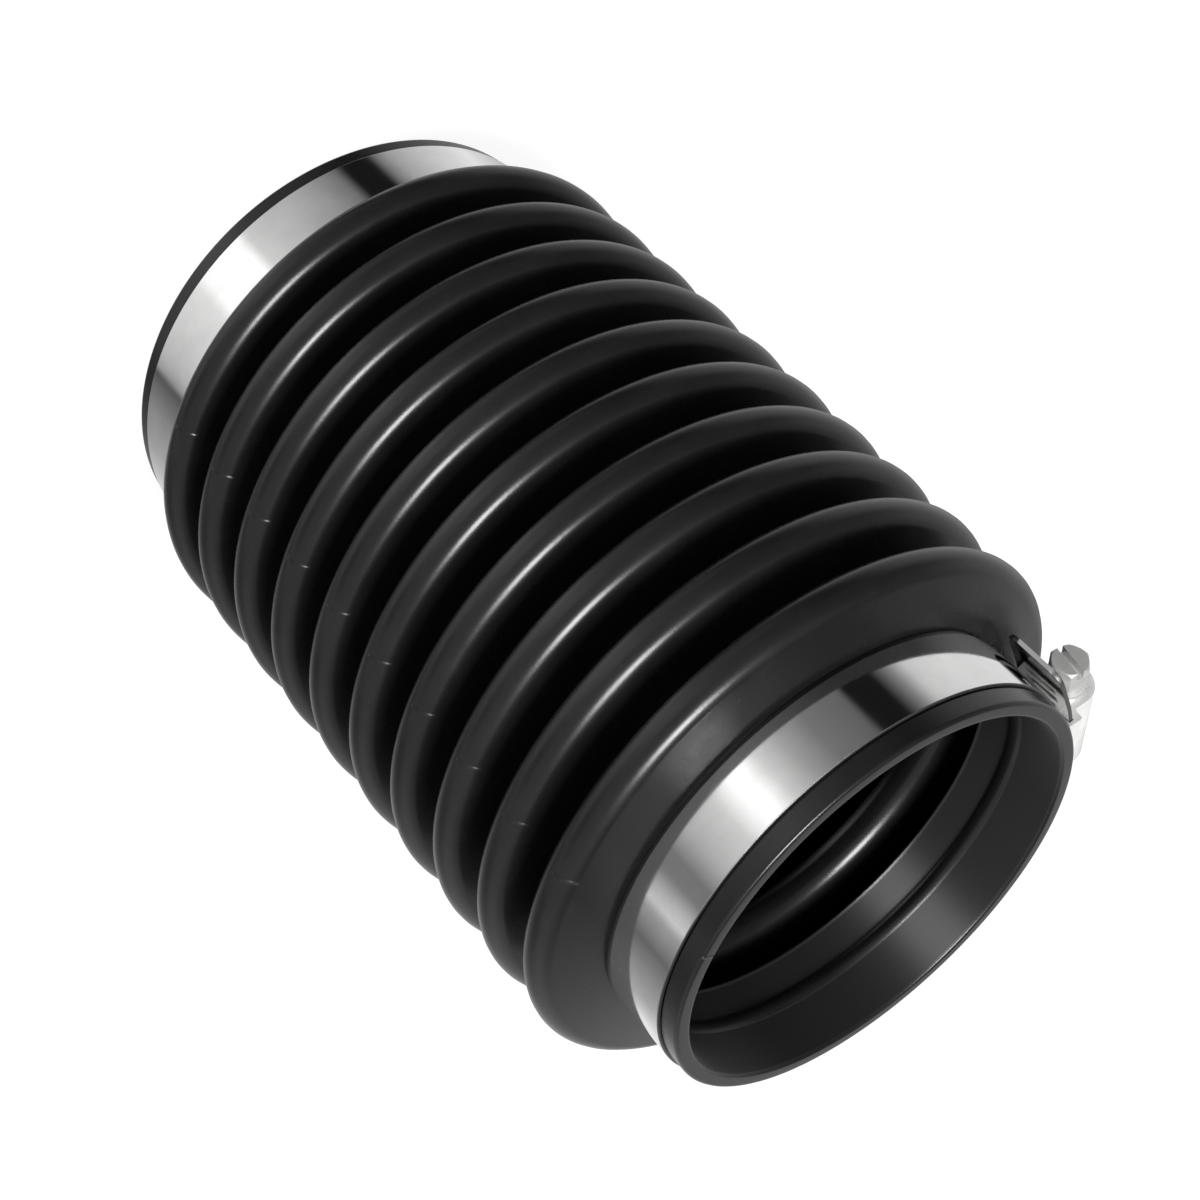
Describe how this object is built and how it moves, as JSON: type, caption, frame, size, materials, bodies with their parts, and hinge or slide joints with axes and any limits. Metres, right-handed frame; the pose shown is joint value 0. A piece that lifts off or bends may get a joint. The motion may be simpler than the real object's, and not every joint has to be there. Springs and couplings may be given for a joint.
{
  "type": "bellows boot",
  "caption": "Convoluted rubber bellows with a plain cuff at each end, each held by a slotted steel band with a worm screw, as a flexible seal around a drive joint.",
  "frame": {"origin": "where the boot's axis meets the end face of the wide rear cuff, which it stands on", "axes": "+Z along the boot's axis from the rear cuff to the narrow front cuff; +X and +Y square to it, with the front clamp's screw housing at 156 degrees and the rear one at 100 degrees from +X towards +Y"},
  "size_m": [0.11, 0.1158, 0.1651],
  "materials": {
    "black_rubber": "moulded black rubber, smooth with a soft sheen",
    "band_steel": "rolled stainless strip, satin to bright",
    "housing_steel": "pressed stainless sheet",
    "screw_steel": "turned stainless steel"
  },
  "bodies": {
    "boot": {"rubber_bellows": "black_rubber", "front_clamp_band": "band_steel", "front_clamp_housing": "housing_steel", "rear_clamp_band": "band_steel", "rear_clamp_housing": "housing_steel"},
    "front_clamp_screw": {"front_clamp_screw": "screw_steel"},
    "rear_clamp_screw": {"rear_clamp_screw": "screw_steel"}
  },
  "joints": [
    {"name": "front_clamp_screw_turn", "type": "hinge", "parent": "boot", "child": "front_clamp_screw", "pos_m": [-0.04508, 0.02007, 0.15456], "axis": [-0.4067, -0.9135, 0], "range_deg": [0, 4680], "deforming": ["front_clamp_band"]},
    {"name": "rear_clamp_screw_turn", "type": "hinge", "parent": "boot", "child": "rear_clamp_screw", "pos_m": [-0.00959, 0.05436, 0.00995], "axis": [-0.9848, -0.1736, 0], "range_deg": [0, 4680], "deforming": ["rear_clamp_band"]}
  ]
}
